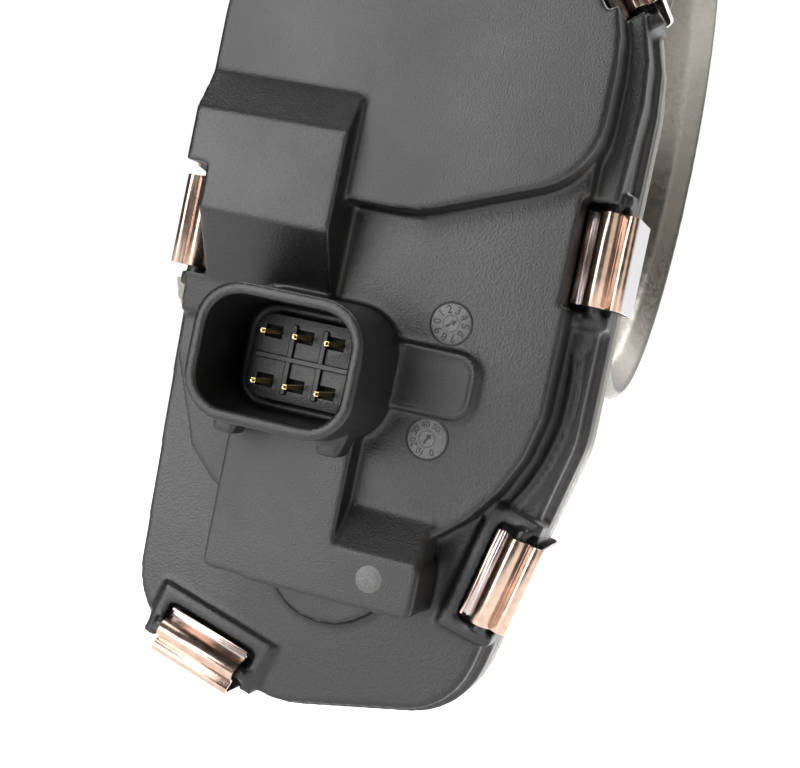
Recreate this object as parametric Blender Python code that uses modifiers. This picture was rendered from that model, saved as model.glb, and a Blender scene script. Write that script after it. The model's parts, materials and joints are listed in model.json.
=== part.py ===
"""Electronic throttle body: aluminium bore casting, clipped gear cover with a six-way socket, gears.

Frame: origin at the bore's centre on the manifold face, +X along the bore towards the air inlet, +Z up.
The gear cover faces -Y, so a height above the bore axis towards the cover is h = -Y.
Lengths are in millimetres.
"""

import math

import bmesh
import bpy
from mathutils import Matrix, Vector

MM = 0.001
GAP = 0.3

# A piece with more Boolean steps than this gets its flat faces cleaned
SIMPLE_BUILD = 6

# Bore and casting
BORE_R = 38.0
BARREL_R = 42.5
LIP_R = 45.0
BORE_LENGTH = 73.0
MOUTH_FLARE = 4.5
FLANGE_HALF = 45.0
FLANGE_THICK = 9.0
BOLT_HALF = 35.0
BOLT_R = 3.5
CASE_BACK_H = 42.0
CASE_H = 48.0

# Axes of the gear train, all parallel to Y and one above the other
SHAFT_X = 41.0
IDLER_Z = -42.0
MOTOR_Z = -77.0

# Gears
MODULE = 1.0
SECTOR_TEETH = 60
IDLER_SMALL_TEETH = 24
IDLER_LARGE_TEETH = 58
PINION_TEETH = 12
LOW_GEAR_H = (49.2, 53.2)
HIGH_GEAR_H = (54.2, 59.2)
THROTTLE_TRAVEL = 85.0

# Shaft, plate and bearings
SHAFT_R = 5.0
PLATE_R = 37.6
PLATE_THICK = 2.2
FLAT_HALF = 38.2
NEAR_BEARING_R = 8.0
FAR_BEARING_R = 10.0
FAR_FACE_H = -56.0

# Gear cover levels, as heights above the bore axis
RIM_H = 51.5
LOW_H = 56.0
SHOULDER_H = 60.5
PLATEAU_H = 64.0
BULGE_H = 70.0
ARM_H = 74.0
BLOCK_H = 68.5
WALL = 2.2

# Connector socket
SOCKET_X = 34.2
SOCKET_Z = -47.8
SOCKET_HALF = (13.0, 10.2)
SOCKET_R = 6.8
SOCKET_WALL = 1.9
SOCKET_FLOOR_H = 66.0
SOCKET_MOUTH_H = 84.0
PIN_PITCH = 5.0
PIN_ROW = 7.5
PIN_TIP_H = 77.0
PIN_SIDE = 0.64

# Motor
CAN_R = 17.5
MOTOR_POT_R = 20.5
MOTOR_BACK_H = -12.0

CLIP_LENGTH = 14.5
CLIP_THICK = 0.8

# Outline points nearer to each other than this are one point
CLOSEST = 0.35

# Corners of the cover's rim and of the case under it, anticlockwise from the upper right: x, z and radius
RIM_HALF = 35.0
RIM_CORNERS = (
    (SHAFT_X + RIM_HALF, RIM_HALF, RIM_HALF - 0.1),
    (SHAFT_X - RIM_HALF, RIM_HALF, RIM_HALF - 0.1),
    (SHAFT_X - RIM_HALF, -42.0, 12.0),
    (8.0, -95.5, 14.0),
    (36.0, -103.5, 12.0),
    (65.5, -97.5, 13.0),
    (SHAFT_X + RIM_HALF, -52.0, 14.0),
)
UPPER_CLIP_DEG = 38.0


def on_side(first, along):
    """A point on the straight side that follows a rim corner, and the side's outward direction in degrees."""
    ax, az = RIM_CORNERS[first][:2]
    bx, bz = RIM_CORNERS[(first + 1) % len(RIM_CORNERS)][:2]
    share = along / math.dist((ax, az), (bx, bz))
    return (ax + (bx - ax) * share, az + (bz - az) * share), math.degrees(math.atan2(ax - bx, bz - az))


def on_crown(degrees):
    turn = math.radians(degrees)
    return (SHAFT_X + RIM_HALF * math.cos(turn), RIM_HALF * math.sin(turn)), degrees


CLIPS = (
    ("left", *on_side(1, 64.5)),
    ("right", *on_side(6, 28.5)),
    ("lower_right", *on_side(5, 23.0)),
    ("lower_left", *on_side(3, 14.5)),
    ("upper_right", *on_crown(UPPER_CLIP_DEG)),
    ("upper_left", *on_crown(180.0 - UPPER_CLIP_DEG)),
)

COLOURS = {
    "cast_aluminium": ((0.50, 0.50, 0.49), 0.42, 1.0),
    "black_plastic": ((0.020, 0.021, 0.022), 0.55, 0.0),
    "spring_steel": ((0.80, 0.56, 0.38), 0.20, 1.0),
    "gold": ((0.90, 0.62, 0.22), 0.25, 1.0),
    "steel": ((0.62, 0.62, 0.63), 0.30, 1.0),
    "brass": ((0.80, 0.58, 0.28), 0.30, 1.0),
    "gear_plastic": ((0.62, 0.58, 0.48), 0.50, 0.0),
    "rubber": ((0.015, 0.015, 0.016), 0.80, 0.0),
    "board_green": ((0.03, 0.16, 0.07), 0.45, 0.0),
}


def clear_scene():
    for obj in list(bpy.data.objects):
        bpy.data.objects.remove(obj, do_unlink=True)


def make_material(name):
    colour, rough, metal = COLOURS[name]
    material = bpy.data.materials.new(name)
    material.use_nodes = True
    shader = material.node_tree.nodes["Principled BSDF"]
    shader.inputs["Base Color"].default_value = (*colour, 1.0)
    shader.inputs["Roughness"].default_value = rough
    shader.inputs["Metallic"].default_value = metal
    material.diffuse_color = (*colour, 1.0)
    return material


def make_collection(name):
    made = bpy.data.collections.new(name)
    bpy.context.scene.collection.children.link(made)
    return made


clear_scene()
PARTS = make_collection("throttle_body")
CUTTERS = make_collection("cutters")
CUTTERS.hide_render = True
MATERIALS = {name: make_material(name) for name in COLOURS}


def place(name, mesh, matrix=None):
    obj = bpy.data.objects.new(name, mesh)
    CUTTERS.objects.link(obj)
    obj.matrix_world = matrix or Matrix.Identity(4)
    obj.hide_render = True
    obj.display_type = "WIRE"
    return obj


def finish(obj, name, material, origin=None):
    """Turns a built shape into a named piece, with its origin moved to a point such as its joint's axis."""
    bpy.context.view_layer.update()
    graph = bpy.context.evaluated_depsgraph_get()
    mesh = bpy.data.meshes.new_from_object(obj.evaluated_get(graph))
    mesh.transform(obj.matrix_world)
    if len(obj.modifiers) > SIMPLE_BUILD:
        clean_flats(mesh)
    obj.modifiers.clear()
    centre = Vector(origin or (0.0, 0.0, 0.0)) * MM
    mesh.transform(Matrix.Translation(-centre))
    mesh.name = name
    mesh.materials.clear()
    mesh.materials.append(MATERIALS[material])
    mesh.shade_smooth()
    mesh.set_sharp_from_angle(angle=math.radians(35))
    CUTTERS.objects.unlink(obj)
    piece = bpy.data.objects.new(name, mesh)
    bpy.data.objects.remove(obj)
    PARTS.objects.link(piece)
    piece.location = centre
    return piece


def boolean(obj, others, operation="DIFFERENCE"):
    """Many closed shapes with shared planes meet in the castings, which the Manifold solver joins cleanly."""
    for other in others:
        modifier = obj.modifiers.new(other.name, "BOOLEAN")
        modifier.operation = operation
        modifier.solver = "MANIFOLD"
        modifier.object = other
    return obj


def join(obj, others):
    return boolean(obj, others, "UNION")


def prism(name, outlines, low_h, high_h):
    """A flat outline in X and Z, with any holes as further outlines, filled between two heights."""
    curve = bpy.data.curves.new(name, "CURVE")
    curve.dimensions = "2D"
    curve.fill_mode = "BOTH"
    curve.extrude = (high_h - low_h) / 2
    for outline in outlines:
        spline = curve.splines.new("POLY")
        spline.points.add(len(outline) - 1)
        for point, (x, z) in zip(spline.points, outline):
            point.co = (x, z, 0.0, 1.0)
        spline.use_cyclic_u = True
    holder = bpy.data.objects.new(name + "_outline", curve)
    bpy.context.scene.collection.objects.link(holder)
    holder.rotation_euler = (math.pi / 2, 0.0, 0.0)
    bpy.context.view_layer.update()
    graph = bpy.context.evaluated_depsgraph_get()
    mesh = bpy.data.meshes.new_from_object(holder.evaluated_get(graph))
    matrix = holder.matrix_world.copy()
    bpy.data.objects.remove(holder)
    mesh.transform(Matrix.Scale(MM, 4))
    weld(mesh)
    return place(name, mesh, Matrix.Translation((0.0, -(low_h + high_h) / 2 * MM, 0.0)) @ matrix)


def weld(mesh):
    shape = bmesh.new()
    shape.from_mesh(mesh)
    bmesh.ops.remove_doubles(shape, verts=shape.verts, dist=1e-6)
    bmesh.ops.recalc_face_normals(shape, faces=shape.faces)
    shape.to_mesh(mesh)
    shape.free()


def clean_flats(mesh):
    """Joins the strips that many Booleans leave across each flat face."""
    shape = bmesh.new()
    shape.from_mesh(mesh)
    bmesh.ops.remove_doubles(shape, verts=shape.verts, dist=2e-6)
    bmesh.ops.dissolve_limit(shape, angle_limit=math.radians(0.05), verts=shape.verts, edges=shape.edges)
    bmesh.ops.triangulate(shape, faces=shape.faces)
    shape.to_mesh(mesh)
    shape.free()


def box(name, low, high):
    """A box between two corners in the part's own X, Y and Z."""
    shape = bmesh.new()
    bmesh.ops.create_cube(shape, size=1.0)
    size = [(b - a) * MM for a, b in zip(low, high)]
    middle = [(b + a) / 2 * MM for a, b in zip(low, high)]
    bmesh.ops.scale(shape, vec=size, verts=shape.verts)
    bmesh.ops.translate(shape, vec=middle, verts=shape.verts)
    mesh = bpy.data.meshes.new(name)
    shape.to_mesh(mesh)
    shape.free()
    return place(name, mesh)


def cylinder(name, x, z, radius, low_h, high_h, sides=32, top_radius=None):
    """A cylinder or cone standing on the X-Z plane, between two heights."""
    shape = bmesh.new()
    top = radius if top_radius is None else top_radius
    depth = (high_h - low_h) * MM
    bmesh.ops.create_cone(
        shape, cap_ends=True, segments=sides, radius1=radius * MM, radius2=top * MM, depth=depth
    )
    middle = (x * MM, -(low_h + high_h) / 2 * MM, z * MM)
    turn = Matrix.Translation(middle) @ Matrix.Rotation(math.pi / 2, 4, "X")
    bmesh.ops.transform(shape, matrix=turn, verts=shape.verts)
    mesh = bpy.data.meshes.new(name)
    shape.to_mesh(mesh)
    shape.free()
    return place(name, mesh)


def turned(name, profile, matrix, steps=32):
    """A profile of (radius, height) points, outer side first and top to bottom, turned about local Z."""
    mesh = bpy.data.meshes.new(name)
    edges = [(i, i + 1) for i in range(len(profile) - 1)]
    mesh.from_pydata([(r * MM, 0.0, z * MM) for r, z in profile], edges, [])
    obj = place(name, mesh, matrix)
    screw = obj.modifiers.new("turn", "SCREW")
    screw.steps = steps
    screw.render_steps = steps
    screw.use_merge_vertices = True
    screw.merge_threshold = 1e-5
    return obj


def along_x(x=0.0, y=0.0, z=0.0):
    return Matrix.Translation((x * MM, y * MM, z * MM)) @ Matrix.Rotation(math.pi / 2, 4, "Y")


def across(x):
    """Local X and Y become Z and the height above the bore axis; the extrusion runs along X."""
    turn = Matrix(((0, 0, 1, 0), (0, -1, 0, 0), (1, 0, 0, 0), (0, 0, 0, 1)))
    return Matrix.Translation((x * MM, 0.0, 0.0)) @ turn


def along_h(x, z):
    return Matrix.Translation((x * MM, 0.0, z * MM)) @ Matrix.Rotation(math.pi / 2, 4, "X")


def bar(name, outline, matrix, length):
    """A flat outline in local X and Y, extruded evenly about local Z by its whole length."""
    made = prism(name, [outline], -length / 2, length / 2)
    made.matrix_world = matrix
    return made


def arc(x, z, radius, start, end, count):
    angles = [math.radians(start + (end - start) * i / count) for i in range(count + 1)]
    return [(x + radius * math.cos(a), z + radius * math.sin(a)) for a in angles]


def circle(x, z, radius, count=32):
    return arc(x, z, radius, 0, 360 - 360 / count, count - 1)


def rounded(corners, step=15.0):
    """A closed outline through (x, z, radius) corners, each turned into an arc of that radius."""
    points = []
    count = len(corners)
    for i, (x, z, radius) in enumerate(corners):
        here = Vector((x, z))
        back = (Vector(corners[i - 1][:2]) - here).normalized()
        ahead = (Vector(corners[(i + 1) % count][:2]) - here).normalized()
        half = back.angle(ahead) / 2
        if radius <= 0.0 or half > math.radians(89):
            points.append((x, z))
            continue
        centre = here + (back + ahead).normalized() * radius / math.sin(half)
        first = here + back * radius / math.tan(half)
        last = here + ahead * radius / math.tan(half)
        start = math.atan2(first.y - centre.y, first.x - centre.x)
        sweep = math.atan2(last.y - centre.y, last.x - centre.x) - start
        sweep = (sweep + math.pi) % (2 * math.pi) - math.pi
        steps = max(1, math.ceil(abs(math.degrees(sweep)) / step))
        for k in range(steps + 1):
            a = start + sweep * k / steps
            points.append((centre.x + radius * math.cos(a), centre.y + radius * math.sin(a)))
    return [p for i, p in enumerate(points) if math.dist(p, points[i - 1]) > CLOSEST]


def inset(outline, distance):
    """The outline moved inwards by a distance; the outline runs anticlockwise."""
    moved = []
    count = len(outline)
    for i in range(count):
        before, here, after = (Vector(outline[(i + k) % count]) for k in (-1, 0, 1))
        if (here - before).length < 1e-6 or (after - here).length < 1e-6:
            continue
        one = (here - before).normalized()
        two = (after - here).normalized()
        normal = Vector((-one.y - two.y, one.x + two.x)).normalized()
        spread = max(0.4, normal.dot(Vector((-one.y, one.x))))
        moved.append(tuple(here + normal * distance / spread))
    return moved


def rounded_box(x, z, half_x, half_z, radius, step=15.0):
    corners = ((half_x, -half_z), (half_x, half_z), (-half_x, half_z), (-half_x, -half_z))
    return rounded([(x + a, z + b, radius) for a, b in corners], step)


RIM = rounded(RIM_CORNERS, 12.0)


def rim_frame(centre, outward, height=0.0):
    """Local X points out of the rim, local Y towards the cover's face and local Z along the rim."""
    turn = math.radians(outward)
    out = Vector((math.cos(turn), 0.0, math.sin(turn)))
    up = Vector((0.0, -1.0, 0.0))
    along = out.cross(up)
    frame = Matrix((out, up, along)).transposed().to_4x4()
    return Matrix.Translation((centre[0] * MM, -height * MM, centre[1] * MM)) @ frame


def gear_outline(teeth, phase, backlash=0.10, first=0, count=None):
    """Involute teeth with 20 degree flanks; one tooth is centred on the phase angle in degrees."""
    pitch = MODULE * teeth / 2
    base = pitch * math.cos(math.radians(20))
    root = pitch - 1.2 * MODULE
    tip = pitch + 0.85 * MODULE
    involute = math.tan(math.radians(20)) - math.radians(20)
    half = math.pi / (2 * teeth) - backlash / (2 * pitch) + involute
    radii = [root] + [max(base, root) + (tip - max(base, root)) * k / 2 for k in range(3)]
    points = []
    for k in range(first, first + (count or teeth)):
        middle = math.radians(phase) + 2 * math.pi * k / teeth
        side = []
        for radius in radii:
            turn = math.acos(min(1.0, base / radius))
            side.append((radius, half - (math.tan(turn) - turn)))
        for radius, width in side + side[::-1]:
            sign = -1 if len(points) % 8 < 4 else 1
            angle = middle + sign * width
            points.append((radius * math.cos(angle), radius * math.sin(angle)))
    return points


def moved(outline, x, z):
    return [(a + x, b + z) for a, b in outline]


def case_plate():
    """The flat face of the casting that closes the gear space, with ledges that the clips hold."""
    return prism("case_plate", [RIM], CASE_BACK_H, CASE_H)


def throttle_housing():
    barrel = turned(
        "barrel",
        [
            (0.0, BORE_LENGTH),
            (LIP_R - 1.5, BORE_LENGTH),
            (LIP_R, BORE_LENGTH - 1.5),
            (LIP_R, BORE_LENGTH - 4.0),
            (BARREL_R, BORE_LENGTH - 8.0),
            (BARREL_R, 0.0),
            (0.0, 0.0),
        ],
        along_x(),
        steps=64,
    )
    flange_outline = rounded_box(0.0, 0.0, FLANGE_HALF, FLANGE_HALF, 9.0)
    holes = [circle(a * BOLT_HALF, b * BOLT_HALF, BOLT_R, 20) for a in (-1, 1) for b in (-1, 1)]
    flange = prism("flange", [flange_outline] + holes, 0.0, FLANGE_THICK)
    quarter = Matrix(((0, 0, 1, 0), (1, 0, 0, 0), (0, 1, 0, 0), (0, 0, 0, 1)))
    flange.matrix_world = Matrix.Translation((FLANGE_THICK / 2 * MM, 0.0, 0.0)) @ quarter
    left_z = CLIPS[0][1][1]
    notch_low, notch_high = (-1.0, -50.0, left_z - 9.2), (FLANGE_THICK + 1.0, -39.4, left_z + 9.2)
    boolean(flange, [box("flange_notch", notch_low, notch_high)])
    pot = cylinder("motor_pot", SHAFT_X, MOTOR_Z, MOTOR_POT_R, MOTOR_BACK_H - 4.0, CASE_H - 2.0, 48)
    near_boss = cylinder("near_boss", SHAFT_X, 0.0, 14.0, 39.5, CASE_H - 1.0, 32)
    far_boss = cylinder("far_boss", SHAFT_X, 0.0, 13.5, FAR_FACE_H, -BARREL_R + 3.0, 32, 16.0)
    web = box("web", (SHAFT_X - 3.0, -38.0, MOTOR_Z + 10.0), (SHAFT_X + 3.0, 8.0, -42.0))
    side_webs = [
        box(f"side_web_{i}", (x - 2.5, -43.0, -44.0), (x + 2.5, -10.0, 30.0))
        for i, x in enumerate((17.0, 64.0))
    ]
    stop_boss = cylinder("stop_boss", 60.0, 19.0, 5.0, 20.0, CASE_H - 1.0, 20)
    rough = join(case_plate(), [barrel, flange, pot, near_boss, far_boss, web, stop_boss] + side_webs)
    bore_cut = turned(
        "bore_cutter",
        [
            (0.0, BORE_LENGTH + 2.0),
            (BORE_R + MOUTH_FLARE * 1.5, BORE_LENGTH + 2.0),
            (BORE_R + MOUTH_FLARE * 0.25, BORE_LENGTH - 4.0),
            (BORE_R, BORE_LENGTH - 10.0),
            (BORE_R, -2.0),
            (0.0, -2.0),
        ],
        along_x(),
        steps=64,
    )
    can_room = cylinder("can_room", SHAFT_X, MOTOR_Z, CAN_R + 0.5, MOTOR_BACK_H, CASE_H + 1.0, 48)
    shaft_way = cylinder("shaft_way", SHAFT_X, 0.0, SHAFT_R + 0.4, -60.0, CASE_H + 1.0, 32)
    near_seat = cylinder("near_seat", SHAFT_X, 0.0, NEAR_BEARING_R + GAP, 41.5, CASE_H + 1.0, 32)
    far_seat = cylinder("far_seat", SHAFT_X, 0.0, FAR_BEARING_R + GAP, -60.0, -43.0, 32)
    idler_seat = cylinder("idler_seat", SHAFT_X, IDLER_Z, 3.0 + GAP, 45.0, CASE_H + 1.0, 24)
    stop_way = cylinder("stop_way", 60.0, 19.0, 2.3, 38.0, CASE_H + 1.0, 20)
    groove = prism("groove", [inset(RIM, 1.3), inset(RIM, 3.5)], CASE_H - 1.5, CASE_H + 1.0)
    cuts = [bore_cut, can_room, shaft_way, near_seat, far_seat, idler_seat, stop_way, groove]
    cuts += [clip_relief(name, centre, out) for name, centre, out in CLIPS]
    return finish(boolean(rough, cuts), "throttle_housing", "cast_aluminium")


def cover_gasket():
    ring = prism("gasket", [inset(RIM, 1.3 + GAP), inset(RIM, 3.5 - GAP)], CASE_H - 1.2, CASE_H + GAP / 2)
    return finish(ring, "cover_gasket", "rubber")


def bulge_outline():
    corners = [
        (71.5, -13.0, 12.0),
        (71.5, 30.5, 28.0),
        (10.5, 30.5, 28.0),
        (10.5, -22.5, 2.0),
        (46.5, -22.5, 16.0),
    ]
    return rounded(corners, 12.0)


def sector_room():
    """The toothed sector only sweeps the lower side, so the room is narrower under the upper clips."""
    swept = arc(SHAFT_X, 0.0, 32.0, 165.0, 379.0, 26)
    narrow = arc(SHAFT_X, 0.0, 26.5, 21.0, 163.0, 14)
    return prism("sector_room", [swept + narrow], CASE_H - 1.0, SHOULDER_H - 0.6)


def board_room():
    """The hollow of the bulge, which holds the position sensor's board."""
    return prism("board_room", [rounded_box(SHAFT_X, 0.0, 18.5, 18.5, 4.0)], CASE_H - 1.0, BULGE_H - WALL)


def plateau_outline(edge=0.0):
    return (
        arc(40.0, -45.0, 30.5 - edge, -140.0, 5.0, 12)
        + [(70.5 - edge, -30.0), (70.5 - edge, -8.0), (11.0 + edge, -8.0), (11.0 + edge, -50.0)]
    )


def arm_solid():
    """The raised duct on the cover's left: it climbs from the bulge, runs flat and falls to the socket."""
    outline = [(-4.0, 50.0), (-6.2, BULGE_H - 0.2), (-13.2, ARM_H), (-28.0, ARM_H), (-38.0, PLATEAU_H + 2.0)]
    outline += [(-44.0, PLATEAU_H + 1.0), (-44.0, 50.0)]
    return bar("arm", outline, across(23.0), 24.4)


def socket_walls():
    outer = rounded_box(SOCKET_X, SOCKET_Z, SOCKET_HALF[0], SOCKET_HALF[1], SOCKET_R)
    return prism("socket", [outer], PLATEAU_H - 3.0, SOCKET_MOUTH_H)


def socket_room():
    half = [a - SOCKET_WALL for a in SOCKET_HALF]
    inner = rounded_box(SOCKET_X, SOCKET_Z, half[0], half[1], SOCKET_R - SOCKET_WALL)
    return prism("socket_room", [inner], SOCKET_FLOOR_H, SOCKET_MOUTH_H + 1.0)


def pin_places():
    for row, z in enumerate((SOCKET_Z + PIN_ROW / 2, SOCKET_Z - PIN_ROW / 2)):
        for column in range(3):
            yield row * 3 + column, SOCKET_X + (column - 1) * PIN_PITCH, z


def gear_cover():
    base = prism("cover_rim", [RIM], CASE_H + GAP, RIM_H)
    low = prism("cover_low", [inset(RIM, 1.2)], CASE_H + 1.0, LOW_H)
    shoulder_outline = [p for p in inset(RIM, 1.0) if p[1] > -14.0] + [(7.2, -22.0), (74.0, -22.0)]
    shoulder = prism("cover_shoulder", [shoulder_outline], CASE_H + 1.0, SHOULDER_H)
    plateau = prism("cover_plateau", [plateau_outline()], CASE_H + 1.0, PLATEAU_H)
    bulge = prism("cover_bulge", [bulge_outline()], CASE_H + 1.0, BULGE_H)
    block = prism("cover_block", [rounded_box(34.0, -68.0, 10.0, 13.6, 1.2, 30.0)], CASE_H + 1.0, BLOCK_H)
    foot = prism("cover_foot", [rounded_box(44.0, -77.9, 14.0, 4.1, 1.2, 30.0)], CASE_H + 1.0, BLOCK_H)
    ramp_outline = [(-64.3, PLATEAU_H - 2.0), (-64.3, PLATEAU_H - 6.0), (-75.0, PLATEAU_H - 6.0)]
    ramp_outline += [(-75.0, BLOCK_H), (-73.9, BLOCK_H)]
    ramp = bar("cover_ramp", ramp_outline, across(50.5), 14.0)
    motor_boss = cylinder("motor_boss", SHAFT_X, MOTOR_Z, 10.8, LOW_H - 1.0, LOW_H + 1.6, 40)
    pad = prism("cover_pad", [rounded_box(52.0, -46.6, 7.2, 4.7, 2.2)], PLATEAU_H - 1.0, PLATEAU_H + 0.7)
    seats = [clip_seat(name, centre, out) for name, centre, out in CLIPS]
    island = prism("island", [rounded_box(SOCKET_X, SOCKET_Z, 7.9, 6.4, 2.6)], 65.0, SOCKET_FLOOR_H + 1.6)
    half = 2.4
    latches = []
    for i, x in enumerate((26.5, 43.0)):
        wedge = [(x - half, -56.0), (x + half, -56.0), (x + half * 0.4, -60.2), (x - half, -60.2)]
        latches.append(prism(f"latch_{i}", [wedge], 71.0, 76.0))
    solids = [low, shoulder, plateau, bulge, arm_solid(), block, foot, ramp, motor_boss, pad, socket_walls()]
    shape = join(base, solids + seats)
    rooms = [
        prism("low_room", [inset(RIM, 3.8)], CASE_H - 1.0, LOW_H - WALL),
        sector_room(),
        prism("plateau_room", [plateau_outline(WALL + 2.8)], CASE_H - 1.0, PLATEAU_H - WALL),
        board_room(),
        prism("block_room", [rounded_box(34.0, -68.0, 7.8, 11.3, 1.0, 45.0)], CASE_H - 1.0, BLOCK_H - WALL),
        prism("foot_room", [rounded_box(44.0, -77.9, 11.8, 2.0, 1.0, 45.0)], CASE_H - 1.0, BLOCK_H - WALL),
    ]
    boolean(shape, rooms)
    clip_cuts = [clip_pocket(name, centre, out) for name, centre, out in CLIPS]
    boolean(shape, clip_cuts + [socket_room()])
    join(shape, [island] + latches + [clip_bar(name, centre, out) for name, centre, out in CLIPS])
    pin_ways = [
        box(f"pin_way_{i}", (x - 0.7, -80.0, z - 0.7), (x + 0.7, -58.0, z + 0.7)) for i, x, z in pin_places()
    ]
    boolean(shape, pin_ways)
    return finish(shape, "gear_cover", "black_plastic")


def clip_seat(name, centre, out):
    outline = [(-9.0, CASE_H + GAP), (-0.1, CASE_H + GAP), (-0.1, 57.0), (-9.0, 57.0)]
    return bar(f"seat_{name}", outline, rim_frame(centre, out), CLIP_LENGTH + 6.5)


def clip_pocket(name, centre, out):
    """Room above the seat and beside the rim for the spring clip."""
    depth = 8.2 if name == "left" else 6.6
    outline = [(-depth, 55.2), (4.0, 55.2), (4.0, 90.0), (-depth, 90.0)]
    return bar(f"pocket_{name}", outline, rim_frame(centre, out), CLIP_LENGTH + 2.0)


def clip_relief(name, centre, out):
    """Room beside and under the casting's ledge for the clip's leg and hook."""
    ledge = CASE_BACK_H + 0.3
    outline = [(-4.5, 39.9), (6.0, 39.9), (6.0, 60.0), (0.1, 60.0), (0.1, ledge), (-4.5, ledge)]
    return bar(f"relief_{name}", outline, rim_frame(centre, out), CLIP_LENGTH + 2.0)


def clip_bar(name, centre, out):
    """The moulded bar that the clip's curl closes round."""
    outline = [(-3.6, 54.5), (-1.6, 54.5), (-1.6, 57.6), (-2.1, 58.2), (-3.1, 58.2), (-3.6, 57.6)]
    return bar(f"bar_{name}", outline, rim_frame(centre, out), CLIP_LENGTH + 3.0)


def ribbon(path, thickness):
    """A strip's outline: its path moved half the thickness to each side."""
    left, right = [], []
    for i, here in enumerate(path):
        before = Vector(path[max(0, i - 1)])
        after = Vector(path[min(len(path) - 1, i + 1)])
        tangent = (after - before).normalized()
        normal = Vector((-tangent.y, tangent.x)) * thickness / 2
        left.append(tuple(Vector(here) + normal))
        right.append(tuple(Vector(here) - normal))
    return left + right[::-1]


def cover_clip(name, centre, out):
    curl = arc(-2.6, 58.0, 1.9, 180.0, 10.0, 8)
    path = [(-5.9, 56.6), (-5.3, 56.0), (-4.9, 56.4)] + curl + [(1.1, 56.4), (1.1, 42.1), (0.6, 41.3)]
    path += [(-0.4, 41.2), (-2.6, 41.4)]
    strip = bar(f"strip_{name}", ribbon(path, CLIP_THICK), rim_frame(centre, out), CLIP_LENGTH)
    return finish(strip, f"cover_clip_{name}", "spring_steel")


def connector_pin(index, x, z):
    half = PIN_SIDE / 2
    shape = box(f"pin_{index}", (x - half, -(PIN_TIP_H - 0.8), z - half), (x + half, -61.2, z + half))
    tip = cylinder(f"tip_{index}", x, z, half * 1.30, PIN_TIP_H - 1.0, PIN_TIP_H, 4, half * 0.5)
    turn = Matrix.Translation((x * MM, 0, z * MM)) @ Matrix.Rotation(math.pi / 4, 4, "Y")
    tip.matrix_world = turn @ Matrix.Translation((-x * MM, 0, -z * MM))
    return finish(join(shape, [tip]), f"connector_pin_{'abcdef'[index]}", "gold")


def motor():
    can = turned(
        "can",
        [(0.0, 43.0), (CAN_R - 1.5, 43.0), (CAN_R, 41.5), (CAN_R, -7.0), (CAN_R - 3, -10.5), (0.0, -10.5)],
        along_h(SHAFT_X, MOTOR_Z),
        steps=40,
    )
    boolean(can, [cylinder("can_bore", SHAFT_X, MOTOR_Z, 2.4, 20.0, 60.0, 20)])
    finish(can, "motor_can", "steel")
    cap = prism("cap", [circle(SHAFT_X, MOTOR_Z, 16.0, 36), circle(SHAFT_X, MOTOR_Z, 5.0, 24)], 43.3, 45.8)
    blades = [(SHAFT_X - 10.5, MOTOR_Z - 1.0), (SHAFT_X + 10.5, MOTOR_Z - 1.0)]
    slots = [
        box(f"slot_{i}", (x - 1.9, -60, z - 0.8), (x + 1.9, -30, z + 0.8))
        for i, (x, z) in enumerate(blades)
    ]
    finish(boolean(cap, slots), "motor_end_cap", "black_plastic")
    for i, (x, z) in enumerate(blades):
        blade = box(f"blade_{i}", (x - 1.5, -62.0, z - 0.4), (x + 1.5, -43.6, z + 0.4))
        finish(blade, f"motor_terminal_{i + 1}", "brass")
    edges = [circle(SHAFT_X, MOTOR_Z, radius, 36) for radius in (17.0, 13.8)]
    ring = prism("plate", edges, 46.2, 47.6)
    finish(ring, "motor_retainer", "steel")


def motor_rotor():
    axis = (SHAFT_X, 0.0, MOTOR_Z)
    shaft = cylinder("rotor", SHAFT_X, MOTOR_Z, 1.5, 22.0, 54.0, 16)
    finish(shaft, "motor_shaft", "steel", axis)
    teeth = gear_outline(PINION_TEETH, 90.0 + 180.0 / PINION_TEETH, 0.14)
    hole = circle(SHAFT_X, MOTOR_Z, 1.5 + GAP, 16)
    pinion = prism("pinion", [moved(teeth, SHAFT_X, MOTOR_Z), hole], LOW_GEAR_H[0], LOW_GEAR_H[1])
    finish(pinion, "motor_pinion", "brass", axis)


def idler():
    axis = (SHAFT_X, 0.0, IDLER_Z)
    pin = cylinder("pin", SHAFT_X, IDLER_Z, 3.0, 45.3, 60.4, 24)
    finish(pin, "idler_pin", "steel")
    hole = circle(SHAFT_X, IDLER_Z, 3.0 + GAP, 24)
    large = gear_outline(IDLER_LARGE_TEETH, -90.0, 0.14)
    small = gear_outline(IDLER_SMALL_TEETH, 90.0 + 180.0 / IDLER_SMALL_TEETH, 0.14)
    wheel = prism("wheel", [moved(large, SHAFT_X, IDLER_Z), hole], LOW_GEAR_H[0], LOW_GEAR_H[1])
    upper = prism("upper", [moved(small, SHAFT_X, IDLER_Z), hole], LOW_GEAR_H[1] - 1.0, HIGH_GEAR_H[1])
    finish(join(wheel, [upper]), "idler_gear", "gear_plastic", axis)


def sector_outline():
    step = 360.0 / SECTOR_TEETH
    before, after = 2, math.ceil(THROTTLE_TRAVEL / step) + 2
    teeth = gear_outline(SECTOR_TEETH, -90.0, 0.14, -before, before + after + 1)
    start = -90.0 - before * step
    end = -90.0 + after * step
    hub = arc(0.0, 0.0, 13.0, end + 50.0, start + 310.0, 14)
    return teeth + hub


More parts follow.
